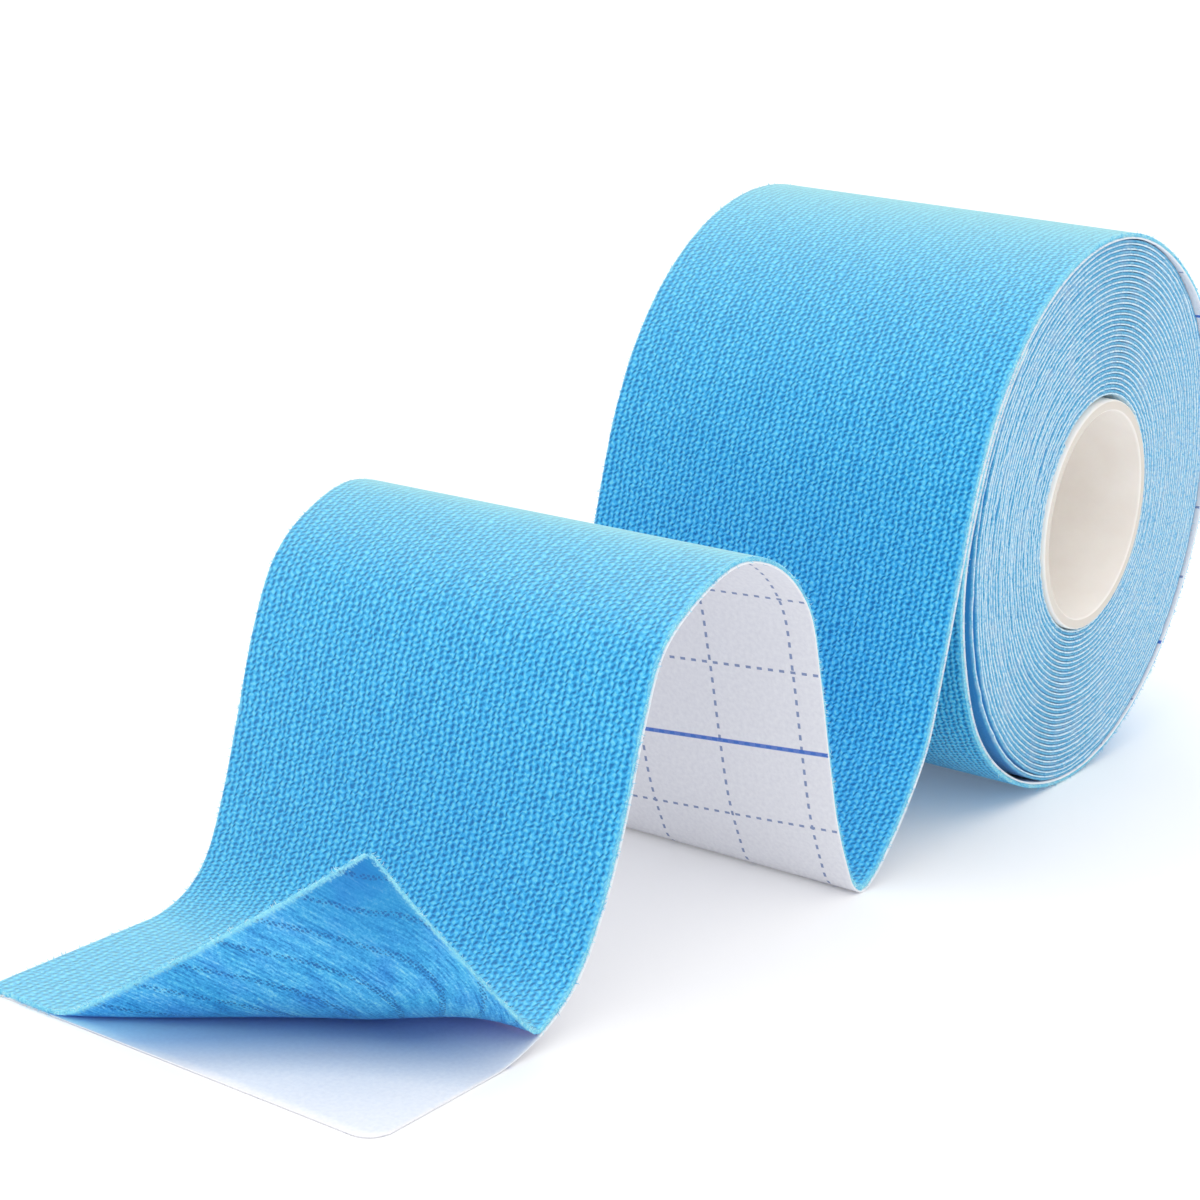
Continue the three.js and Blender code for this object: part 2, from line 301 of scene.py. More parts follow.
adhesive = {
    "wave": 5.3,  # mm from one ridge to the next
    "swing": 10.0,  # mm that the waves swing across the tape, and along it from one swing to the next
    "length": 52.0,
    "first": 9.1,  # mm from the near edge at the cut end
    "ridge": 0.42,  # half a ridge's width
    "dots": 2.7,  # dots in a millimetre
    "dotSize": 0.42,  # share of the way from one dot to the next
    "dotShows": 0.75,  # how dark and how deep the dots are
    "dotDepth": 0.6,
    "streak": 0.3,  # mm across a streak, and streaks in a millimetre along the tape
    "streaksAlong": 0.42,
    "bands": 0.22,  # broad bands to a streak
    "follow": 0.45,  # how far the streaks keep to the waves rather than to the yarn
    "grains": 3.0,  # in a millimetre
    "weights": (0.4, 0.4, 0.2),  # of the streaks, the grain and the broad bands
    "relief": 0.1,
    "stretch": (2.0, 14.0),  # mm from the pulled corner, between which the dark fades
    "stretchShows": 0.9,
    "clouds": 0.22,  # in a millimetre
    "fray": 1.6,  # mm that the frayed border wavers over the whole range of the grain
    "colours": [(0.38, "#0F70BC"), (0.46, "#309CDF"), (0.53, "#50BEF4"), (0.63, "#98E5FA")],
    "cloudColours": [(0.35, "#F0EFFC"), (0.5, "#FFFFFF"), (0.65, "#E2FAFA")],
    "stretchColour": "#0486CA",
    "dotColour": "#0C5EA8",
    "foldShadeColour": "#2A5CFA",
    "frayColour": "#A4F0F8",
    "sheen": "#B0F0FF",
}


def makeAdhesiveSide(cutAt):
    material, add = newMaterial("acrylic_adhesive_on_cotton")
    flat = stripMillimetres(add)
    along, over, _ = add("ShaderNodeSeparateXYZ", [flat]).outputs
    fromCut = add("ShaderNodeMath", [cutAt, along], operation="SUBTRACT")
    turn = add("ShaderNodeMath", [fromCut, 2 * math.pi / adhesive["length"]], operation="MULTIPLY")
    swing = add("ShaderNodeMath", [turn], operation="SINE")
    across = add("ShaderNodeMath", [swing, adhesive["swing"], over], operation="MULTIPLY_ADD")
    sway = add(
        "ShaderNodeMath", [swing, adhesive["swing"] * adhesive["follow"], over], operation="MULTIPLY_ADD",
    )
    waved = add("ShaderNodeCombineXYZ", [along, sway])
    scale = (adhesive["streaksAlong"], 1 / adhesive["streak"], 1.0)
    longways = add("ShaderNodeMapping", {"Vector": waved, "Scale": scale})
    streaks = add("ShaderNodeTexNoise", {"Vector": longways, "Scale": 1.0, "Detail": 4.0, "Roughness": 0.6})
    bands = add("ShaderNodeTexNoise", {"Vector": longways, "Scale": adhesive["bands"], "Detail": 1.0})
    grain = add(
        "ShaderNodeTexNoise", {"Vector": flat, "Scale": adhesive["grains"], "Detail": 3.0, "Roughness": 0.75},
    )
    streakWeight, grainWeight, bandWeight = adhesive["weights"]
    height = add("ShaderNodeMath", [grain, grainWeight], operation="MULTIPLY")
    height = add("ShaderNodeMath", [streaks, streakWeight, height], operation="MULTIPLY_ADD")
    height = add("ShaderNodeMath", [bands, bandWeight, height], operation="MULTIPLY_ADD")
    colour = add("ShaderNodeValToRGB", [height], stops=adhesive["colours"])
    # the corner that was pulled up is stretched and darker
    fromCorner = add("ShaderNodeVectorMath", [flat, (cutAt, 0, 0)], operation="DISTANCE")
    start, end = adhesive["stretch"]
    stretched = add("ShaderNodeMapRange", {
        "Value": fromCorner, "From Min": start, "From Max": end, "To Min": 1.0, "To Max": 0.0,
    })
    stretched = add("ShaderNodeMath", [stretched, adhesive["stretchShows"]], operation="MULTIPLY")
    colour = add(
        "ShaderNodeMix", {"Factor": stretched, "A": colour, "B": adhesive["stretchColour"]}, data_type="RGBA",
    )
    cloud = add("ShaderNodeTexNoise", {"Vector": flat, "Scale": adhesive["clouds"], "Detail": 2.0})
    cloud = add("ShaderNodeValToRGB", [cloud], stops=adhesive["cloudColours"])
    colour = add(
        "ShaderNodeMix", {"Factor": 1.0, "A": colour, "B": cloud}, data_type="RGBA", blend_type="MULTIPLY",
    )
    ridge = add("ShaderNodeMath", [across, adhesive["first"]], operation="SUBTRACT")
    ridge = add("ShaderNodeMath", [ridge, adhesive["wave"] / 2], operation="PINGPONG")
    onRidge = add("ShaderNodeMath", [ridge, adhesive["ridge"]], operation="LESS_THAN")
    dots = add("ShaderNodeTexVoronoi", {"Vector": flat, "Scale": adhesive["dots"], "Randomness": 0.4})
    inDot = add("ShaderNodeMath", [dots, adhesive["dotSize"]], operation="LESS_THAN")
    mark = add("ShaderNodeMath", [onRidge, inDot], operation="MULTIPLY")
    shown = add("ShaderNodeMath", [mark, adhesive["dotShows"]], operation="MULTIPLY")
    colour = add(
        "ShaderNodeMix", {"Factor": shown, "A": colour, "B": adhesive["dotColour"]}, data_type="RGBA",
    )
    # painted shade: the blue deepens in the fold, where the flap bends up off the paper
    foldShade = add("ShaderNodeAttribute", attribute_name="fold").outputs["Fac"]
    foldShade = add("ShaderNodeMapRange", {"Value": foldShade, "From Min": 0.36, "From Max": 0.8})
    colour = add(
        "ShaderNodeMix", {"Factor": foldShade, "A": colour, "B": adhesive["foldShadeColour"]}, data_type="RGBA",
    )
    # cut yarn ends fray over the border and show pale
    border = add("ShaderNodeMath", [fromCut, over], operation="MINIMUM")
    waver = add("ShaderNodeMath", [grain, 0.5], operation="SUBTRACT")
    border = add("ShaderNodeMath", [waver, adhesive["fray"], border], operation="MULTIPLY_ADD")
    frayed = add("ShaderNodeMapRange", {
        "Value": border, "From Min": 0.05, "From Max": 0.4, "To Min": 0.7, "To Max": 0.0,
    })
    outOfFold = add("ShaderNodeMath", [1.0, foldShade], operation="SUBTRACT")
    frayed = add("ShaderNodeMath", [frayed, outOfFold], operation="MULTIPLY")
    colour = add(
        "ShaderNodeMix", {"Factor": frayed, "A": colour, "B": adhesive["frayColour"]}, data_type="RGBA",
    )
    height = add("ShaderNodeMath", [mark, -adhesive["dotDepth"], height], operation="MULTIPLY_ADD")
    finishMaterial(
        add, colour, height, adhesive["relief"],
        Roughness=0.5, Specular_IOR_Level=0.3, Coat_Weight=0.08, Coat_Roughness=0.3,
        Sheen_Weight=0.15, Sheen_Tint=adhesive["sheen"],
    )
    return material


# Release paper: bleached kraft with a silicone coat on one side, white with a soft sheen and faint fibres.
# The flap of blue cloth above casts a painted shadow on it, grey-blue near the fold and fading to white, with
# its blue thrown in as painted bounce light.

paper = {
    "fibre": 0.5,  # mm
    "relief": 0.012,
    "face": [(0.3, "#F2F2F7"), (0.7, "#FCFBFD")],
    "flapShadow": [(0.0, "#FFFFFF"), (0.3, "#D4DEE9"), (0.6, "#A6C8E4"), (1.0, "#A4E6FF")],
    "back": [(0.3, "#E4E5EC"), (0.7, "#EEEFF4")],
    "edgeFibres": 2.2,  # in a millimetre
    "edge": [(0.32, "#90CEF3"), (0.46, "#C9EBFC"), (0.66, "#ECFAFF")],
}


def makePaperFace():
    material, add = newMaterial("siliconed_kraft_paper")
    fibres = add(
        "ShaderNodeTexNoise", {"Vector": stripMillimetres(add), "Scale": 1 / paper["fibre"], "Detail": 5.0},
    )
    colour = add("ShaderNodeValToRGB", [fibres], stops=paper["face"])
    # painted shadow and bounce light from the flap, multiplied into the paper's colour
    flapShadowMask = add("ShaderNodeAttribute", attribute_name="fold").outputs["Fac"]
    flapShadow = add("ShaderNodeValToRGB", [flapShadowMask], stops=paper["flapShadow"])
    colour = add(
        "ShaderNodeMix", {"Factor": 1.0, "A": colour, "B": flapShadow}, data_type="RGBA", blend_type="MULTIPLY",
    )
    finishMaterial(
        add, colour, fibres, paper["relief"],
        Roughness=0.42, Specular_IOR_Level=0.5, Coat_Weight=0.15, Coat_Roughness=0.35,
    )
    return material


# The paper's uncoated back: dull, with the usual cutting grid, dashed each centimetre and solid each fifth

printed = {
    "crosswise": 9.75,  # mm between the lines across the strip
    "solidEvery": 5,
    "lengthwise": (3.2, 10.7),  # first line from the near edge, and the step
    "dash": 1.43,
    "inked": 0.46,  # share of a dash that is printed
    "line": 0.34,
    "solid": 0.52,
    "skew": 0.1,
    "dashShows": 0.85,
    "solidShows": 0.9,
    "dashColour": "#667EB0",
    "solidColour": "#3C70CC",
}


def nearestLine(add, place, step):
    # the nearest line's number and how far off it is
    number = add("ShaderNodeMath", [place, step], operation="DIVIDE")
    number = add("ShaderNodeMath", [number], operation="ROUND")
    off = add("ShaderNodeMath", [number, -step, place], operation="MULTIPLY_ADD")
    return number, add("ShaderNodeMath", [off], operation="ABSOLUTE")


def makePrintedBack(solidAt):
    material, add = newMaterial("printed_kraft_paper_back")
    flat = stripMillimetres(add)
    fibres = add("ShaderNodeTexNoise", {"Vector": flat, "Scale": 1 / paper["fibre"], "Detail": 5.0})
    colour = add("ShaderNodeValToRGB", [fibres], stops=paper["back"])
    along, over, _ = add("ShaderNodeSeparateXYZ", [flat]).outputs
    along = add("ShaderNodeMath", [over, printed["skew"], along], operation="MULTIPLY_ADD")
    along = add("ShaderNodeMath", [along, solidAt], operation="SUBTRACT")
    lineNumber, toLine = nearestLine(add, along, printed["crosswise"])
    first, step = printed["lengthwise"]
    fromFirst = add("ShaderNodeMath", [over, first], operation="SUBTRACT")
    _, toColumn = nearestLine(add, fromFirst, step)
    dashes = []
    for off, run in ((toLine, over), (toColumn, along)):
        onLine = add("ShaderNodeMath", [off, printed["line"] / 2], operation="LESS_THAN")
        inDash = add("ShaderNodeMath", [run, printed["dash"]], operation="FLOORED_MODULO")
        onDash = add("ShaderNodeMath", [inDash, printed["dash"] * printed["inked"]], operation="LESS_THAN")
        dashes.append(add("ShaderNodeMath", [onLine, onDash], operation="MULTIPLY"))
    dashed = add("ShaderNodeMath", dashes, operation="MAXIMUM")
    dashed = add("ShaderNodeMath", [dashed, printed["dashShows"]], operation="MULTIPLY")
    colour = add(
        "ShaderNodeMix", {"Factor": dashed, "A": colour, "B": printed["dashColour"]}, data_type="RGBA",
    )
    fifth = add("ShaderNodeMath", [lineNumber, printed["solidEvery"]], operation="FLOORED_MODULO")
    fifth = add("ShaderNodeMath", [fifth, 0.0, 0.25], operation="COMPARE")
    solid = add("ShaderNodeMath", [toLine, printed["solid"] / 2], operation="LESS_THAN")
    solid = add("ShaderNodeMath", [fifth, solid], operation="MULTIPLY")
    solid = add("ShaderNodeMath", [solid, printed["solidShows"]], operation="MULTIPLY")
    colour = add(
        "ShaderNodeMix", {"Factor": solid, "A": colour, "B": printed["solidColour"]}, data_type="RGBA",
    )
    finishMaterial(
        add, colour, fibres, paper["relief"], Roughness=0.75, Specular_IOR_Level=0.3, Sheen_Weight=0.05,
    )
    return material


# Slit edge of the release paper between the turns: white paper lit blue by the cotton on both sides


def makePaperEdge():
    material, add = newMaterial("slit_kraft_paper_edge")
    place = add("ShaderNodeTexCoord").outputs["Object"]
    fibres = add("ShaderNodeTexNoise", {"Vector": place, "Scale": paper["edgeFibres"] / mm, "Detail": 3.0})
    colour = add("ShaderNodeValToRGB", [fibres], stops=paper["edge"])
    finishMaterial(add, colour, fibres, paper["relief"], Roughness=0.7, Specular_IOR_Level=0.3)
    return material


# The strip's path. Angles are degrees from +X turning over the top of the roll; the last turn starts at
# -225, one turn under the place where the strip's loose end lies on top.

strip = {
    "width": 50.0,
    "cloth": (-0.12, 0.35),  # inner and outer side of the woven tape, from the middle of the pair
    "paper": (-0.36, -0.13),  # a little thicker than real, so that its white edge shows
    "clothBulge": 0.12,  # mm that a slit edge stands out in its middle
    "paperBulge": 0.08,
    "paperBeyond": 0.14,  # how far the paper is wider than the tape on each side
    "paperCorner": 2.5,
    "paperColumns": 16,  # beyond those that lie close together at the rounded corner
    "turnSteps": 2,
    "steps": 6,
    "slantFolds": 5,  # folds before the cut end, over which the rows turn to meet it
    "sharp": 60,  # degrees between two faces, past which the light shows an edge
}
axisHeight = rollAxis.z / mm

Turn = namedtuple("Turn", "angle radius proud")  # proud: how far it stands out towards the near side
lastTurn = [
    Turn(-225, 34.28, 0.0),
    Turn(-210, 34.26, 0.0),
    Turn(-195, 34.27, 0.0),
    Turn(-188, 34.60, 0.0),  # slack hanging off the roll's lower left
    Turn(-182, 35.00, 0.0),
    Turn(-176, 35.24, 0.0),
    Turn(-169, 35.35, 0.0),
    Turn(-156, 35.42, 0.0),
    Turn(-147, 35.68, 0.0),
    Turn(-141, 35.76, 0.0),
    Turn(-132, 35.55, 0.0),
    Turn(-123, 35.20, 0.0),
    Turn(-114, 34.93, 0.0),
    Turn(-106, 34.72, 0.0),
    Turn(-98, 34.66, 0.0),
    Turn(-90, 34.69, 0.0),  # on the floor
    Turn(-80, 34.75, 0.0),
    Turn(-68, 34.87, 0.02),
    Turn(-45, 34.95, 0.15),
    Turn(-20, 34.95, 0.35),
    Turn(0, 34.95, 0.60),
    Turn(20, 34.95, 0.90),
    Turn(45, 34.95, 0.85),
    Turn(60, 34.95, 0.35),
    Turn(72, 34.95, 0.03),
    Turn(90, 34.95, 0.0),
    Turn(110, 34.95, 0.0),
    Turn(130, 34.95, 0.0),
    Turn(148, 34.95, 0.0),
    Turn(160, 34.98, 0.0),
]

Fold = namedtuple("Fold", "x z drift farX farZ")
# x and z of the near edge, z above its height when flat, its drift inwards, and the far edge from the near
folds = [
    Fold(-33.85, 44.20, 0.0, 0.0, 0.0),  # leaving the roll
    Fold(-35.10, 39.65, 0.0, 0.0, 0.0),
    Fold(-37.25, 29.95, 0.0, 0.0, 0.0),
    Fold(-39.10, 21.85, 0.0, 0.0, 0.0),
    Fold(-41.35, 13.75, 0.0, 0.0, 0.0),
    Fold(-45.80, 6.85, 0.1, 0.0, 0.0),
    Fold(-48.6, 3.5, 0.25, 0.0, 0.0),
    Fold(-51.0, 1.05, 0.4, 0.0, 0.0),
    Fold(-53.2, 0.0, 0.55, 0.0, 0.0),  # valley, on the floor
    Fold(-55.0, 0.95, 0.7, -0.1, 0.0),
    Fold(-56.6, 3.6, 0.85, -0.25, 0.0),
    Fold(-59.3, 9.6, 1.2, -0.5, 0.0),
    Fold(-61.1, 17.0, 1.8, -0.8, 0.0),
    Fold(-63.3, 27.1, 2.6, -1.2, 0.0),
    Fold(-66.0, 35.2, 3.1, -1.5, -0.2),
    Fold(-72.0, 40.8, 3.5, -1.6, -0.3),
    Fold(-80.5, 43.1, 3.7, -1.5, -0.3),  # crest of the hump
    Fold(-89.5, 40.3, 3.7, -0.6, -0.1),
    Fold(-94.7, 36.4, 3.7, 0.1, 0.0),
    Fold(-97.4, 29.5, 3.7, -0.2, 0.0),
    Fold(-99.9, 19.8, 3.7, -0.1, 0.0),
    Fold(-103.0, 11.5, 3.7, 0.9, 0.0),
    Fold(-107.2, 4.9, 3.7, 2.6, 0.0),
    Fold(-112.0, 1.9, 3.7, 4.6, 0.0),
    Fold(-118.6, 0.15, 3.7, 6.4, 0.0),  # down on the floor
    Fold(-125.0, 0.0, 3.7, 4.9, 0.0),
    Fold(-132.0, 0.0, 3.7, 3.4, 0.0),
    Fold(-139.4, 0.0, 3.7, 1.9, 0.0),  # cut end
]
printedFold = 12  # the grid's solid line crosses the near edge a little above this fold
solidAbove = 0.9


def smoothCurve(points, steps):
    # centripetal Catmull-Rom curve through the points
    padded = [2 * points[0] - points[1], *points, 2 * points[-1] - points[-2]]
    curve = []
    for i in range(1, len(padded) - 2):
        p0, p1, p2, p3 = padded[i - 1:i + 3]
        d0, d1, d2 = ((b - a).length ** 0.5 for a, b in ((p0, p1), (p1, p2), (p2, p3)))
        leave = (p1 - p0) * (d1 / d0) - (p2 - p0) * (d1 / (d0 + d1)) + (p2 - p1)
        reach = (p2 - p1) - (p3 - p1) * (d1 / (d1 + d2)) + (p3 - p2) * (d1 / d2)
        for k in range(steps):
            t = k / steps
            curve.append(
                p1 * (2 * t ** 3 - 3 * t ** 2 + 1) + leave * (t ** 3 - 2 * t ** 2 + t)
                + p2 * (3 * t ** 2 - 2 * t ** 3) + reach * (t ** 3 - t ** 2)
            )
    curve.append(points[-1].copy())
    return curve


def makeEdges():
    # one smooth line along each long edge of the strip, with the same number of points
    near = []
    far = []
    half = strip["width"] / 2
    for angle, radius, proud in smoothCurve([Vector(turn) for turn in lastTurn], strip["turnSteps"]):
        x = radius * math.cos(math.radians(angle))
        z = axisHeight + radius * math.sin(math.radians(angle))
        near.append(Vector((x, -half - proud, z)))
        far.append(Vector((x, half - proud, z)))
    foldRows = len(near)
    height = -strip["paper"][0]
    for fold in folds:
        near.append(Vector((fold.x, fold.drift - half, height + fold.z)))
        far.append(Vector((fold.x + fold.farX, fold.drift + half, height + fold.z + fold.farZ)))
    edges = [smoothCurve(edge, strip["steps"]) for edge in (near, far)]
    for edge in edges:
        for point in edge:
            point.z = max(point.z, height)  # nothing dips under the floor
    return *edges, foldRows


nearEdge, farEdge, foldRows = makeEdges()
lastRow = len(nearEdge) - 1
slantRows = strip["slantFolds"] * strip["steps"]

runLengths = [0.0]
for behind, ahead in zip(nearEdge, nearEdge[1:]):
    runLengths.append(runLengths[-1] + (ahead - behind).length)
solidAt = runLengths[(foldRows + printedFold) * strip["steps"]] + solidAbove
looseLength = runLengths[-1] - runLengths[foldRows * strip["steps"]]
print(f"strip path: {runLengths[-1]:.1f} mm, of which {looseLength:.1f} mm loose, {lastRow} rows")

Spot = namedtuple("Spot", "point normal flat")  # flat: millimetres along and across


def onStrip(row, across):
    # row may lie between two points of the edges, and across runs from 0 to 1
    i = min(int(row), lastRow - 1)
    near, far = (edge[i].lerp(edge[i + 1], row - i) for edge in (nearEdge, farEdge))
    return near.lerp(far, across)


def stripSpot(row, across):
    # the pair's middle surface
    row = min(max(row, 0), lastRow)
    ahead = onStrip(min(row + 0.5, lastRow), across)
    behind = onStrip(max(row - 0.5, 0), across)
    over = onStrip(row, 1) - onStrip(row, 0)
    i = min(int(row), lastRow - 1)
    run = runLengths[i] + (runLengths[i + 1] - runLengths[i]) * (row - i)
    normal = over.cross(ahead - behind).normalized()
    return Spot(onStrip(row, across), normal, (run, across * strip["width"]))


def rowAtX(x, across):
    # where a line at one share of the width reaches x, near the cut end
    low, high = lastRow - slantRows, lastRow
    for _ in range(24):  # halved until it no longer matters
        half = (low + high) / 2
        if onStrip(half, across).x > x:
            low = half
        else:
            high = half
    return high


def stripGrid(columns, endRow):
    # rows of spots along the strip; endRow(across) says where each column ends, and rows turn to meet it
    first = lastRow - slantRows
    grid = [[stripSpot(row, across) for across in columns] for row in range(first)]
    for i in range(slantRows + 1):
        grid.append([
            stripSpot(first + (endRow(across) - first) * i / slantRows, across) for across in columns
        ])
    return grid


def sheetMesh(name, grids, sides, materials, edgeBulge, paintedShadeAt):
    # a closed thin sheet from grids of spots, the later ones sharing the points that they have in common
    # sides: inner and outer offset in mm; materials: outside, inside and edge; paintedShadeAt: how much
    # painted shade a spot gets from the fold of the peeled corner
    numbers = {}
    spots = []
    faces = []
    for grid in grids:
        for row in grid:
            for spot in row:
                if id(spot) not in numbers:
                    numbers[id(spot)] = len(spots)
                    spots.append(spot)
        for before, after in zip(grid, grid[1:]):
            for a, b, c, d in zip(before, before[1:], after[1:], after):
                faces.append([numbers[id(s)] for s in (a, b, c, d)])
    inner, outer = sides
    points = [spot.point + spot.normal * outer for spot in spots]
    points += [spot.point + spot.normal * inner for spot in spots]
    flats = [spot.flat for spot in spots] * 2
    near = [paintedShadeAt(spot) for spot in spots] * 2
    under = len(spots)
    rim = {}
    for face in faces:
        for a, b in zip(face, face[1:] + face[:1]):
            if (b, a) in rim:
                del rim[(b, a)]
            else:
                rim[(a, b)] = True
    # the rim bulges by a little, so that a cut edge looks soft
    outwards = {}
    for a, b in rim:
        direction = (spots[b].point - spots[a].point).cross(spots[a].normal).normalized()
        for i in (a, b):
            outwards[i] = outwards.get(i, Vector()) + direction
    middle = {}
    for i, direction in outwards.items():
        middle[i] = len(points)
        halfWay = spots[i].point + spots[i].normal * (inner + outer) / 2
        points.append(halfWay + direction.normalized() * edgeBulge)
        flats.append(spots[i].flat)
        near.append(0.0)
    allFaces = [(face, 0) for face in faces]
    allFaces += [([under + i for i in reversed(face)], 1) for face in faces]
    for a, b in rim:
        allFaces.append(([b, a, middle[a], middle[b]], 2))
        allFaces.append(([middle[b], middle[a], under + a, under + b], 2))
    mesh = bpy.data.meshes.new(name)
    mesh.from_pydata([fromAxis(*point) for point in points], [], [face for face, _ in allFaces])
    for material in materials:
        mesh.materials.append(material)
    for polygon, (_, kind) in zip(mesh.polygons, allFaces):
        polygon.material_index = kind
        polygon.use_smooth = True
    layer = mesh.uv_layers.new(name="strip")
    for loop in mesh.loops:
        layer.data[loop.index].uv = [value * mm for value in flats[loop.vertex_index]]
    # the fold's painted shade, which the paper and the underside multiply or mix into their colour
    mesh.attributes.new("fold", "FLOAT", "POINT").data.foreach_set("value", near)
    mesh.set_sharp_from_angle(angle=math.radians(strip["sharp"]))
    piece = bpy.data.objects.new(name, mesh)
    bpy.context.collection.objects.link(piece)
    return piece


# The peeled corner: its fold is a bowed line from the near edge to the cut end

peel = {
    "nearX": -112.9,  # where the line meets the near edge
    "share": 0.835,  # how much of the cut end is lifted
    "bow": 5.3,  # the line's bend away from the corner, fuller towards the near edge
    "lean": 65.2,
    "bend": 1.9,  # smallest radius of the bend
    "curl": 1.6,  # degrees that the flap leans further back in each millimetre above the bend
    "twist": 4.3,  # how far the corner is pulled along the line
    "blunt": 0.985,  # share of the way to the corner that the flap reaches
    "foldShade": 0.8,  # share of the bend over which the fold's painted shade, a deep blue, fades
    "columns": 26,
    "rows": 26,
    "heldColumns": 6,  # beyond the line, where the tape stays down
    "shadeUnder": 1.5,  # mm that the flap's painted shadow reaches over the paper, under it and in front of it
    "shadeAhead": 16,
    "shadeStart": 0.3,  # how strong it is where the line begins, and how fast it grows along the line
    "shadeGrows": 2.4,
}
cutEnd = folds[-1]
nearY = cutEnd.drift - strip["width"] / 2
corner = Vector((cutEnd.x, nearY))
peelStart = Vector((peel["nearX"], nearY))
peelEnd = Vector((cutEnd.x + cutEnd.farX * peel["share"], nearY + peel["share"] * strip["width"]))
peelLine = peelEnd - peelStart
alongPeel = peelLine.normalized()
awayFromPeel = Vector((-alongPeel.y, alongPeel.x))  # towards the corner, square to the line


def bowAt(share):
    return 8 * peel["bow"] * share * (1 - share) ** 2


def pastPeel(place):
    # millimetres that a place on the flat strip lies beyond the bowed line, with the bow and the share there
    offset = place - peelStart
    share = offset.dot(alongPeel) / peelLine.length
    bow = bowAt(min(max(share, 0), 1))
    return offset.dot(awayFromPeel) + bow, bow, share


# Release paper, from the last turn to its cut end, with its near corner rounded


def makeReleasePaper():
    beyond = strip["paperBeyond"] / strip["width"]
    columns = [-beyond, 0.004, 0.009, 0.015, 0.022, 0.03, 0.04, 0.05]
    start, count = columns[-1], strip["paperColumns"]
    columns += [start + (1 - start + beyond) * j / count for j in range(1, count + 1)]

    def endRow(across):
        radius = strip["paperCorner"]
        short = min(max(0, radius - across * strip["width"]), radius)
        rounding = radius - math.sqrt(radius ** 2 - short ** 2)
        return rowAtX(cutEnd.x + cutEnd.farX * across + rounding, across)

    def shadeAt(spot):
        # painted shadow: the paper is shaded from just under the line to some way in front of it
        past, _, share = pastPeel(spot.point.xy)
        if past < -peel["shadeUnder"] or spot.point.x > peel["nearX"]:
            return 0.0
        fade = max(0, 1 - max(past, 0) / peel["shadeAhead"])
        return fade * min(1, peel["shadeStart"] + peel["shadeGrows"] * max(share, 0))

    face = makePaperFace()
    piece = sheetMesh(
        "release_paper_strip", [stripGrid(columns, endRow)], strip["paper"],
        [face, makePrintedBack(solidAt), face], strip["paperBulge"], shadeAt,
    )
    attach(piece, body)
    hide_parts("release_paper")
    return piece


# Woven tape, from the last turn to its cut end, with the near corner bent up round the fold


def makeLooseTape(materials):
    def endRow(across):
        share = min(across / peel["share"], 1)
        if share < 1:
            return rowAtX(peelStart.x + peelLine.x * share - bowAt(share) / awayFromPeel.x, across)
        return rowAtX(cutEnd.x + cutEnd.farX * across, across)

    columns = [peel["share"] * j / peel["columns"] for j in range(peel["columns"] + 1)]
    held = peel["heldColumns"]
    columns += [peel["share"] + (1 - peel["share"]) * j / held for j in range(1, held + 1)]
    sheet = stripGrid(columns, endRow)

    # the flap's rows run from the peel line to the corner
    lean = math.radians(peel["lean"])
    curl = math.radians(peel["curl"])
    cornerAway = (corner - peelStart).dot(awayFromPeel)
    cornerFlat = Vector((runLengths[-1], 0))
    cornerHeight = nearEdge[-1].z
    peelRow = sheet[-1][:peel["columns"] + 1]
    flap = [peelRow]
    foldShadeOf = {id(spot): 1.0 for spot in peelRow}
    for k in range(1, peel["rows"] + 1):
        t = peel["blunt"] * k / peel["rows"]
        row = []
        for start in peelRow:
            flat = start.point.xy.lerp(corner, t)
            past, bow, _ = pastPeel(flat)
            travel = max(past, 0)
            radius = peel["bend"] + bow / math.tan(lean / 2)
            turn = min(travel / radius, lean)
            above = travel - radius * turn
            tilt = turn + curl * above
            out = radius * math.sin(turn) + (math.sin(tilt) - math.sin(turn)) / curl - bow
            rise = radius * (1 - math.cos(turn)) + (math.cos(turn) - math.cos(tilt)) / curl
            side = (flat - peelStart).dot(alongPeel) + peel["twist"] * above / cornerAway
            place = peelStart + alongPeel * side + awayFromPeel * out
            height = start.point.z + (cornerHeight - start.point.z) * t
            normal = Vector((*(-awayFromPeel * math.sin(tilt)), math.cos(tilt)))
            spot = Spot(
                Vector((*place, height + rise)), normal, tuple(Vector(start.flat).lerp(cornerFlat, t)),
            )
            # painted shade of the fold: full at the peel line, gone past part of the bend
            foldShadeOf[id(spot)] = max(0, 1 - turn / (peel["foldShade"] * lean))
            row.append(spot)
        flap.append(row)
    piece = sheetMesh(
        "woven_tape_strip", [sheet, flap], strip["cloth"], materials, strip["clothBulge"],
        lambda spot: foldShadeOf.get(id(spot), 0.0),
    )
    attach(piece, body)
    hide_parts("loose_tape")
    return piece


tapeMaterials = [
    makeWovenTape(),
    makeAdhesiveSide(runLengths[-1]),
    makeSlitEdge("slit_cotton_edge", slitEdge["litStripColours"]),
]
paperStrip = makeReleasePaper()
tapeStrip = makeLooseTape(tapeMaterials)
print(f"loose tape: {len(tapeStrip.data.polygons)} faces, paper: {len(paperStrip.data.polygons)} faces")


# Wound turns under the last one, by Geometry Nodes: a spiral rail carries a thin rounded profile

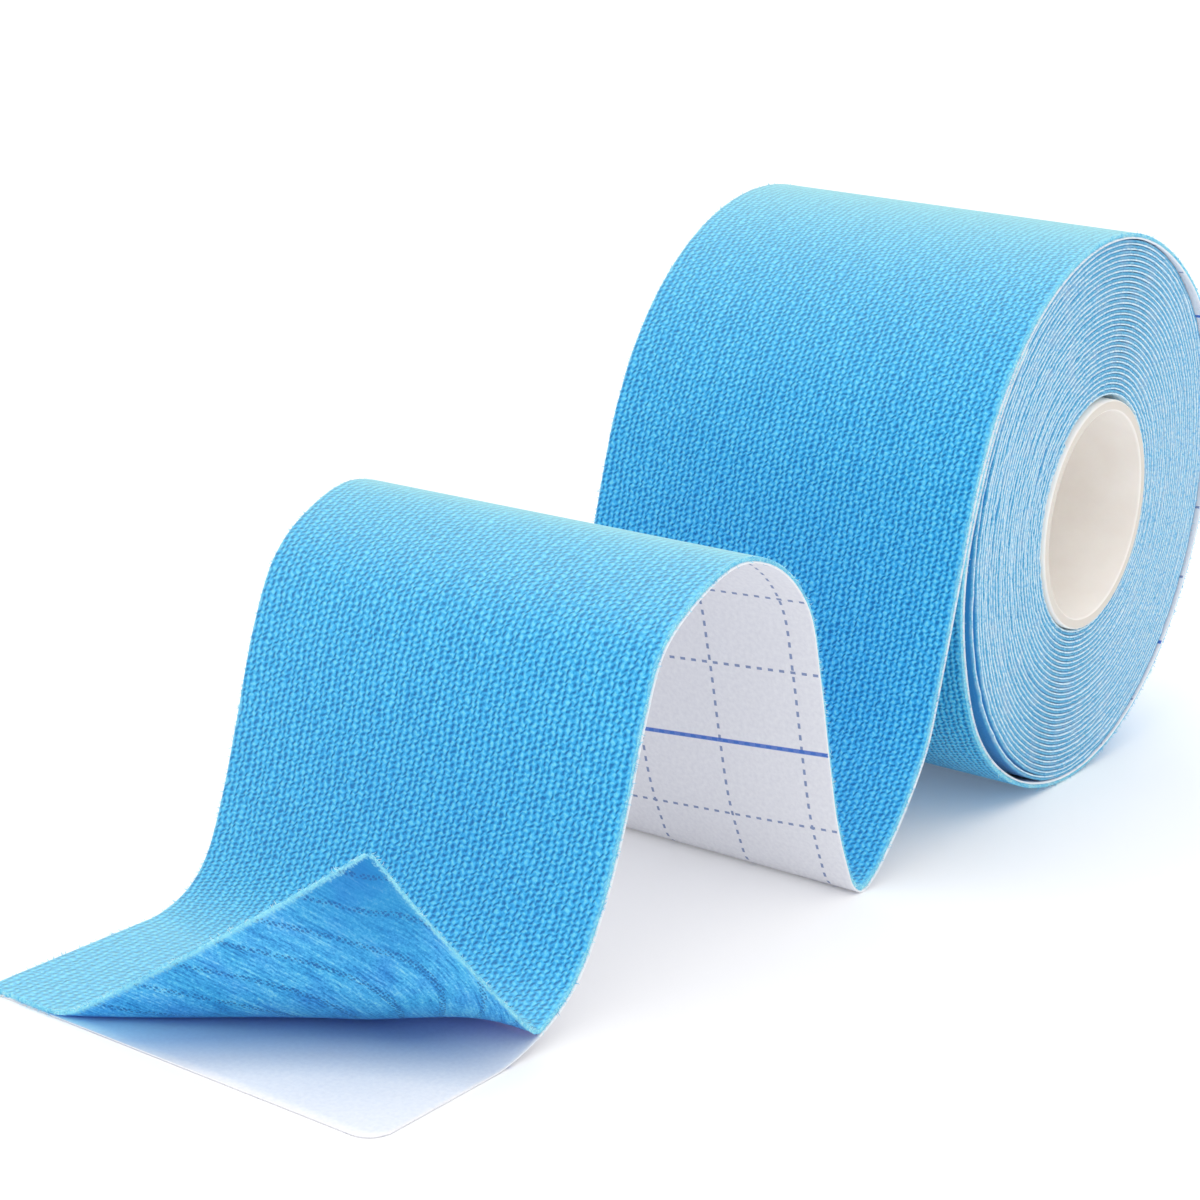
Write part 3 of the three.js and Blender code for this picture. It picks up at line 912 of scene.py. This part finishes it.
winding = {
    "turns": 29,
    "stepsPerTurn": 160,
    "firstRadius": 14.95,
    "lastRadius": 34.25,
    "startAngle": 135.0,
    "wander": 0.2,  # mm that a turn stands in or out along the roll's width
    "sway": 18.0,  # mm along the strip for its slow strays, and for those of its tufts
    "tuft": 1.1,
    "tuftShare": 0.8,  # how far the tufts stray beside the turn itself
    # degrees after the start, and mm that the turns are pressed in there, less nearer to the tube
    "squeeze": [
        (0, 0.2), (15, 0.66), (35, 1.1), (50, 1.5), (65, 1.7), (73, 1.55), (87, 1.25), (106, 0.65),
        (118, 0.12), (130, -0.32), (142, -0.42), (200, -0.30), (250, -0.21), (300, -0.05), (360, 0.2),
    ],
    "squeezeRange": (-0.5, 2.7),  # mm at the bottom of the curve that holds them, and its height
    "slack": 0.45,  # share of the pressing that the outermost turn is spared
    # each layer's middle from the middle of the pair, its thickness, rounding and how far it stands out
    "cloth": (0.10, 0.35, 0.14, 0.0),
    "paper": (-0.2, 0.2, 0.05, 0.02),
}


def newGroup(name, inputs):
    # a geometry node group with named inputs, each with the last word of its socket type
    group = bpy.data.node_groups.new(name, "GeometryNodeTree")
    for label, kind in {"Geometry": "Geometry", **inputs}.items():
        group.interface.new_socket(label, in_out="INPUT", socket_type="NodeSocket" + kind)
    group.interface.new_socket("Geometry", in_out="OUTPUT", socket_type="NodeSocketGeometry")
    add = partial(addNode, group)
    return group, add, add("NodeGroupInput").outputs


def finishGroup(add, given, geometry):
    smooth = add("GeometryNodeSetShadeSmooth", {"Geometry": geometry})
    real = add("GeometryNodeRealizeInstances", {"Geometry": smooth})
    clad = add("GeometryNodeSetMaterial", {"Geometry": real, "Material": given["Material"]})
    add("NodeGroupOutput", [clad])


def bakeNodes(name, group, values, source=None):
    # runs the node group on an object and keeps the result as its plain mesh
    piece = bpy.data.objects.new(name, source or bpy.data.meshes.new(name))
    bpy.context.collection.objects.link(piece)
    modifier = piece.modifiers.new(name, "NODES")
    modifier.node_group = group
    for item in group.interface.items_tree:
        if item.item_type == "SOCKET" and item.in_out == "INPUT" and item.name in values:
            modifier[item.identifier] = values[item.name]
    depsgraph = bpy.context.evaluated_depsgraph_get()
    mesh = bpy.data.meshes.new_from_object(
        piece.evaluated_get(depsgraph), preserve_all_data_layers=True, depsgraph=depsgraph,
    )
    piece.modifiers.remove(modifier)
    piece.data = mesh
    return piece


def makeWindingGroup():
    group, add, given = newGroup("windTurns", {
        "Turns": "Int", "Steps Per Turn": "Int", "First Radius": "Float", "Last Radius": "Float",
        "Start Angle": "Float", "Axis": "Vector", "Width": "Float", "Thickness": "Float", "Offset": "Float",
        "Rounding": "Float", "Wander": "Float", "Material": "Material",
    })
    # the rail: a line bent into a spiral, pressed in where the turns lie under the slack
    steps = add("ShaderNodeMath", [given["Turns"], given["Steps Per Turn"], 1], operation="MULTIPLY_ADD")
    line = add("GeometryNodeCurvePrimitiveLine", {"End": (1, 0, 0)})
    rail = add("GeometryNodeResampleCurve", {"Curve": line, "Count": steps})
    along = add("GeometryNodeSplineParameter").outputs["Factor"]
    turn = add("ShaderNodeMath", [along, given["Turns"]], operation="MULTIPLY")
    squeeze = add("ShaderNodeFloatCurve", {"Value": add("ShaderNodeMath", [turn], operation="FRACT")})
    points = squeeze.mapping.curves[0].points
    low, height = winding["squeezeRange"]
    while len(points) < len(winding["squeeze"]):
        points.new(0.5, 0.5)
    for point, (degrees, press) in zip(points, winding["squeeze"]):
        point.location = (degrees / 360, (press - low) / height)
    squeeze.mapping.update()
    pressed = add("ShaderNodeMath", [squeeze, height * mm, low * mm], operation="MULTIPLY_ADD")
    inLast = add("ShaderNodeMath", [turn, given["Turns"]], operation="SUBTRACT")
    spared = add("ShaderNodeMapRange", {
        "Value": inLast, "From Min": -1.0, "From Max": -0.9, "To Min": 1.0, "To Max": 1 - winding["slack"],
    })
    pressed = add("ShaderNodeMath", [pressed, spared], operation="MULTIPLY")
    reach = add("ShaderNodeMath", [given["Last Radius"], given["First Radius"]], operation="SUBTRACT")
    reach = add("ShaderNodeMath", [reach, pressed], operation="SUBTRACT")
    radius = add("ShaderNodeMath", [reach, along, given["First Radius"]], operation="MULTIPLY_ADD")
    angle = add("ShaderNodeMath", [turn, 2 * math.pi, given["Start Angle"]], operation="MULTIPLY_ADD")
    x, z = (add("ShaderNodeMath", [angle], operation=kind) for kind in ("COSINE", "SINE"))
    x, z = (add("ShaderNodeMath", [share, radius], operation="MULTIPLY") for share in (x, z))
    spot = add("ShaderNodeCombineXYZ", {"X": x, "Z": z})
    placed = add("ShaderNodeVectorMath", [spot, given["Axis"]], operation="ADD")
    bent = add("GeometryNodeSetPosition", {"Geometry": rail, "Position": placed})
    levelled = add("GeometryNodeSetCurveNormal", {"Curve": bent, "Normal": (0, 1, 0)}, mode="FREE")
    lengths = add("GeometryNodeCaptureAttribute", {"Geometry": levelled}, domain="POINT")
    lengths.capture_items.new("FLOAT", "Length")
    group.links.new(add("GeometryNodeSplineParameter").outputs["Length"], lengths.inputs[1])

    # the profile: the strip's cross-section, its x along the width and its y towards the tube
    box = add("GeometryNodeCurvePrimitiveQuadrilateral", {
        "Width": given["Width"], "Height": given["Thickness"],
    })
    rounded = add(
        "GeometryNodeFilletCurve", {"Curve": box, "Radius": given["Rounding"], "Count": 2}, mode="POLY",
    )
    inwards = add("ShaderNodeMath", [given["Offset"], -1.0], operation="MULTIPLY")
    shift = add("ShaderNodeCombineXYZ", {"Y": inwards})
    profile = add("GeometryNodeSetPosition", {"Geometry": rounded, "Offset": shift})
    places = add("GeometryNodeCaptureAttribute", {"Geometry": profile}, domain="POINT")
    places.capture_items.new("VECTOR", "Place")
    group.links.new(add("GeometryNodeInputPosition").outputs[0], places.inputs[1])
    wound = add("GeometryNodeCurveToMesh", {"Curve": lengths, "Profile Curve": places, "Fill Caps": True})

    # each turn stands in or out a little, and its slit edge is never quite straight
    strays = []
    for size in (winding["sway"], winding["tuft"]):
        place = add("ShaderNodeMath", [lengths.outputs[1], 1 / (size * mm)], operation="MULTIPLY")
        noise = add("ShaderNodeTexNoise", {"W": place, "Scale": 1.0, "Detail": 2.0}, noise_dimensions="1D")
        strays.append(add("ShaderNodeMath", [noise, 0.5], operation="SUBTRACT"))
    slow, quick = strays
    stray = add("ShaderNodeMath", [quick, winding["tuftShare"], slow], operation="MULTIPLY_ADD")
    wander = add("ShaderNodeMath", [given["Wander"], 2.0], operation="MULTIPLY")
    stray = add("ShaderNodeMath", [stray, wander], operation="MULTIPLY")
    shift = add("ShaderNodeCombineXYZ", {"Y": stray})
    strayed = add("GeometryNodeSetPosition", {"Geometry": wound, "Offset": shift})
    across = add("ShaderNodeSeparateXYZ", [places.outputs[1]]).outputs["X"]
    fromNear = add("ShaderNodeMath", [given["Width"], 0.5, across], operation="MULTIPLY_ADD")
    flat = add("ShaderNodeCombineXYZ", [lengths.outputs[1], fromNear])
    mapped = add(
        "GeometryNodeStoreNamedAttribute", {"Geometry": strayed, "Name": "strip", "Value": flat},
        data_type="FLOAT2", domain="CORNER",
    )
    finishGroup(add, given, mapped)
    return group


def makeWoundTurns():
    group = makeWindingGroup()
    slitTurns = makeSlitEdge("slit_cotton_turns", slitEdge["shadedWoundColours"], wound=True)
    pieces = []
    for name, layer, material, slot in (
        ("wound_cloth_turns", winding["cloth"], slitTurns, "wound_cloth"),
        ("wound_paper_turns", winding["paper"], makePaperEdge(), "release_paper"),
    ):
        offset, thickness, rounding, beyond = layer
        piece = bakeNodes(name, group, {
            "Turns": winding["turns"],
            "Steps Per Turn": winding["stepsPerTurn"],
            "First Radius": winding["firstRadius"] * mm,
            "Last Radius": winding["lastRadius"] * mm,
            "Start Angle": math.radians(winding["startAngle"]),
            "Axis": tuple(rollAxis),
            "Width": (strip["width"] + 2 * beyond) * mm,
            "Thickness": thickness * mm,
            "Offset": offset * mm,
            "Rounding": rounding * mm,
            "Wander": winding["wander"] * mm,
            "Material": material,
        })
        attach(piece, body)
        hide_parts("wound_tape")
        pieces.append(piece)
    return pieces


woundPieces = makeWoundTurns()
print("wound turns:", ", ".join(f"{piece.name} {len(piece.data.polygons)} faces" for piece in woundPieces))


# Loose fibres by Geometry Nodes: cut yarn ends stand out of every slit edge, each a thin bent hair of dyed
# cotton, matte and paler than the yarn because it is so thin

fibre = {
    "thickness": 0.08,
    "taper": 0.7,
    "lean": 1.0,  # most that it leans from upright, in radians
    "bend": {"Start": (0, 0, 0), "Middle": (0.05, 0, 0.6), "End": (0.45, 0, 0.85)},  # share of the length
    "lengths": (0.35, 1.2),  # shortest and longest, as a share of the length
    "steps": 3,
    "sides": 3,
    "seed": 7,
    "patches": 0.9,  # of one colour in a millimetre
    "colours": [(0.35, "#62C6F2"), (0.5, "#96E4FA"), (0.65, "#DAFCFF")],
    "sheen": "#E4F8FF",
    # number of the material that they stand on, least share of the face's normal that lies along the roll's
    # width, hairs on a square millimetre, and length in mm
    "strip": (2, -1.0, 15.0, 0.45),
    "turns": (0, 0.6, 2.7, 0.35),
}


def makeFibreCotton():
    material, add = newMaterial("loose_cotton_fibre")
    place = add("ShaderNodeTexCoord").outputs["Object"]
    dye = add("ShaderNodeTexNoise", {"Vector": place, "Scale": fibre["patches"] / mm, "Detail": 1.0})
    colour = add("ShaderNodeValToRGB", [dye], stops=fibre["colours"])
    finishMaterial(
        add, colour, dye, 0.0,
        Roughness=0.8, Specular_IOR_Level=0.3, Sheen_Weight=0.3, Sheen_Tint=fibre["sheen"],
    )
    return material


def makeFibreGroup():
    group, add, given = newGroup("looseFibres", {
        "Side": "Int", "Facing": "Float", "Density": "Float", "Length": "Float", "Thickness": "Float",
        "Lean": "Float", "Seed": "Int", "Material": "Material",
    })
    number = add("GeometryNodeInputMaterialIndex")
    onSide = add("ShaderNodeMath", [number, given["Side"], 0.5], operation="COMPARE")
    normal = add("ShaderNodeSeparateXYZ", [add("GeometryNodeInputNormal")]).outputs["Y"]
    sideways = add("ShaderNodeMath", [normal], operation="ABSOLUTE")
    facing = add("ShaderNodeMath", [sideways, given["Facing"]], operation="GREATER_THAN")
    feet = add("GeometryNodeDistributePointsOnFaces", {
        "Mesh": given["Geometry"], "Selection": add("ShaderNodeMath", [onSide, facing], operation="MULTIPLY"),
        "Density": given["Density"], "Seed": given["Seed"],
    })
    # one hair of three sides, thinner towards its tip
    line = add("GeometryNodeCurveQuadraticBezier", {"Resolution": fibre["steps"], **fibre["bend"]})
    scale = add("ShaderNodeCombineXYZ", [given["Length"]] * 3)
    sized = add("GeometryNodeTransform", {"Geometry": line, "Scale": scale})
    along = add("GeometryNodeSplineParameter").outputs["Factor"]
    taper = add("ShaderNodeMath", [along, -fibre["taper"], 1.0], operation="MULTIPLY_ADD")
    tapered = add("GeometryNodeSetCurveRadius", {"Curve": sized, "Radius": taper})
    radius = add("ShaderNodeMath", [given["Thickness"], 0.5], operation="MULTIPLY")
    ring = add("GeometryNodeCurvePrimitiveCircle", {"Radius": radius, "Resolution": fibre["sides"]})
    hair = add("GeometryNodeCurveToMesh", {
        "Curve": tapered, "Profile Curve": ring, "Scale": taper, "Fill Caps": True,
    })
    leanAway = add("ShaderNodeMath", [given["Lean"], -1.0], operation="MULTIPLY")
    least = add("ShaderNodeCombineXYZ", [leanAway, leanAway])
    most = add("ShaderNodeCombineXYZ", [given["Lean"], given["Lean"], 2 * math.pi])
    seed = given["Seed"]
    tilt = add("FunctionNodeRandomValue", {"Min": least, "Max": most, "Seed": seed}, data_type="FLOAT_VECTOR")
    turned = add(
        "FunctionNodeRotateRotation", {"Rotation": feet.outputs["Rotation"], "Rotate By": tilt},
        rotation_space="LOCAL",
    )
    shortest, longest = fibre["lengths"]
    size = add("FunctionNodeRandomValue", {"Seed": seed, "Min": shortest, "Max": longest}, data_type="FLOAT")
    grown = add("GeometryNodeInstanceOnPoints", {
        "Points": feet, "Instance": hair, "Rotation": turned, "Scale": size,
    })
    finishGroup(add, given, grown)
    return group


def makeFibres():
    group = makeFibreGroup()
    cotton = makeFibreCotton()
    pieces = []
    for name, source, row, slot in (
        ("edge_fibres", tapeStrip, fibre["strip"], "tape_cloth"),
        ("side_fibres", woundPieces[0], fibre["turns"], "wound_cloth"),
    ):
        side, facing, density, length = row
        piece = bakeNodes(name, group, {
            "Side": side,
            "Facing": facing,
            "Density": density / mm ** 2,
            "Length": length * mm,
            "Thickness": fibre["thickness"] * mm,
            "Lean": fibre["lean"],
            "Seed": fibre["seed"],
            "Material": cotton,
        }, source.data)
        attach(piece, body)
        pieces.append(piece)
    return pieces


fibrePieces = makeFibres()
print("fibres:", ", ".join(f"{piece.name} {len(piece.data.polygons)} faces" for piece in fibrePieces))


# Core: extruded polypropylene tube in ivory, matte and slightly cloudy, with its rims cut clean. It is one
# turned profile, its rims rounded and standing a little proud of the tape.

core = {
    "outer": 14.6,
    "inner": 13.2,
    "rim": 0.3,
    "rimSteps": 4,
    "proud": 0.45,
    "rings": 120,
    "clouds": 0.16,  # in a millimetre
    "grains": 1.8,
    "relief": 0.02,
    "colours": [(0.3, "#F6F0EA"), (0.7, "#FCF8F3")],
    "endGrey": "#DFD8CE",
}


def makeIvoryPlastic():
    material, add = newMaterial("ivory_polypropylene")
    place = add("ShaderNodeTexCoord").outputs["Object"]
    cloud = add("ShaderNodeTexNoise", {"Vector": place, "Scale": core["clouds"] / mm, "Detail": 4.0})
    grain = add("ShaderNodeTexNoise", {"Vector": place, "Scale": core["grains"] / mm, "Detail": 2.0})
    colour = add("ShaderNodeValToRGB", [cloud], stops=core["colours"])
    # the end faces are a little greyer than the wall
    normal = add("ShaderNodeSeparateXYZ", [add("ShaderNodeNewGeometry").outputs["Normal"]]).outputs["Y"]
    endwise = add("ShaderNodeMath", [normal], operation="ABSOLUTE")
    endGrey = add("ShaderNodeMapRange", {"Value": endwise, "From Min": 0.85, "From Max": 0.98})
    colour = add("ShaderNodeMix", {"Factor": endGrey, "A": colour, "B": core["endGrey"]}, data_type="RGBA")
    finishMaterial(
        add, colour, grain, core["relief"],
        Roughness=0.55, IOR=1.49, Specular_IOR_Level=0.4, Subsurface_Weight=0.05, Subsurface_Scale=0.002,
    )
    return material


def makeCore():
    end = strip["width"] / 2 + core["proud"]
    rim = core["rim"]
    profile = []
    arcs = [
        (core["outer"] - rim, end - rim, 0), (core["inner"] + rim, end - rim, 90),
        (core["inner"] + rim, rim - end, 180), (core["outer"] - rim, rim - end, 270),
    ]
    for radius, y, start in arcs:
        for k in range(core["rimSteps"] + 1):
            turn = math.radians(start + 90 * k / core["rimSteps"])
            profile.append((radius + rim * math.cos(turn), y + rim * math.sin(turn)))
    points = []
    for i in range(core["rings"]):
        angle = 2 * math.pi * i / core["rings"]
        points += [fromAxis(r * math.cos(angle), y, axisHeight + r * math.sin(angle)) for r, y in profile]
    size = len(profile)
    faces = []
    for i in range(core["rings"]):
        after = (i + 1) % core["rings"]
        for k in range(size):
            up = (k + 1) % size
            faces.append((i * size + k, i * size + up, after * size + up, after * size + k))
    mesh = bpy.data.meshes.new("ivory_tube")
    mesh.from_pydata(points, [], faces)
    mesh.materials.append(makeIvoryPlastic())
    mesh.polygons.foreach_set("use_smooth", [True] * len(mesh.polygons))
    piece = bpy.data.objects.new("ivory_tube", mesh)
    bpy.context.collection.objects.link(piece)
    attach(piece, body)
    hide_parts("core_tube")
    return piece


tube = makeCore()
print(f"tube: {len(tube.data.polygons)} faces")


# Studio: pale matte floor, soft light from above and from the loose end's side

studio = {
    "floor": "#F7F7F8",
    "floorGlow": 0.1,  # light paper lit from below as well, which softens the shadows
    "floorReach": 6,  # metres
    "floorDrop": 0.05,  # mm under the object
    "world": "#FFFFFF",
    "worldStrength": 0.64,
    "lamps": [
        # name, direction that it shines from, spread in degrees, strength
        ("top", (0.1, 0.3, 1.0), 110, 1.45),
        ("key", (-0.55, -0.6, 0.8), 90, 0.5),
    ],
}


def makeStudio():
    material, add = newMaterial("matte_studio_floor")
    shader = add("ShaderNodeBsdfPrincipled", {
        "Base Color": studio["floor"], "Roughness": 0.9, "Specular IOR Level": 0.2,
        "Emission Color": studio["floor"], "Emission Strength": studio["floorGlow"],
    })
    add("ShaderNodeOutputMaterial", {"Surface": shader})
    far, drop = studio["floorReach"], studio["floorDrop"] * mm
    mesh = bpy.data.meshes.new("studio_floor")
    corners = [(-far, -far, -drop), (far, -far, -drop), (far, far, -drop), (-far, far, -drop)]
    mesh.from_pydata(corners, [], [(0, 1, 2, 3)])
    mesh.materials.append(material)
    floor = bpy.data.objects.new("studio_floor", mesh)
    bpy.context.collection.objects.link(floor)
    world = bpy.data.worlds.new("studio_world")
    world.use_nodes = True
    background = world.node_tree.nodes["Background"]
    background.inputs["Color"].default_value = hexColour(studio["world"])
    background.inputs["Strength"].default_value = studio["worldStrength"]
    bpy.context.scene.world = world
    for name, source, spread, strength in studio["lamps"]:
        data = bpy.data.lights.new(name, "SUN")
        data.angle = math.radians(spread)
        data.energy = strength
        lamp = bpy.data.objects.new(name, data)
        lamp.rotation_mode = "QUATERNION"
        lamp.rotation_quaternion = Vector(source).to_track_quat("Z", "Y")
        bpy.context.collection.objects.link(lamp)
    bpy.context.scene.view_settings.view_transform = "Standard"


makeStudio()
print("studio lit")
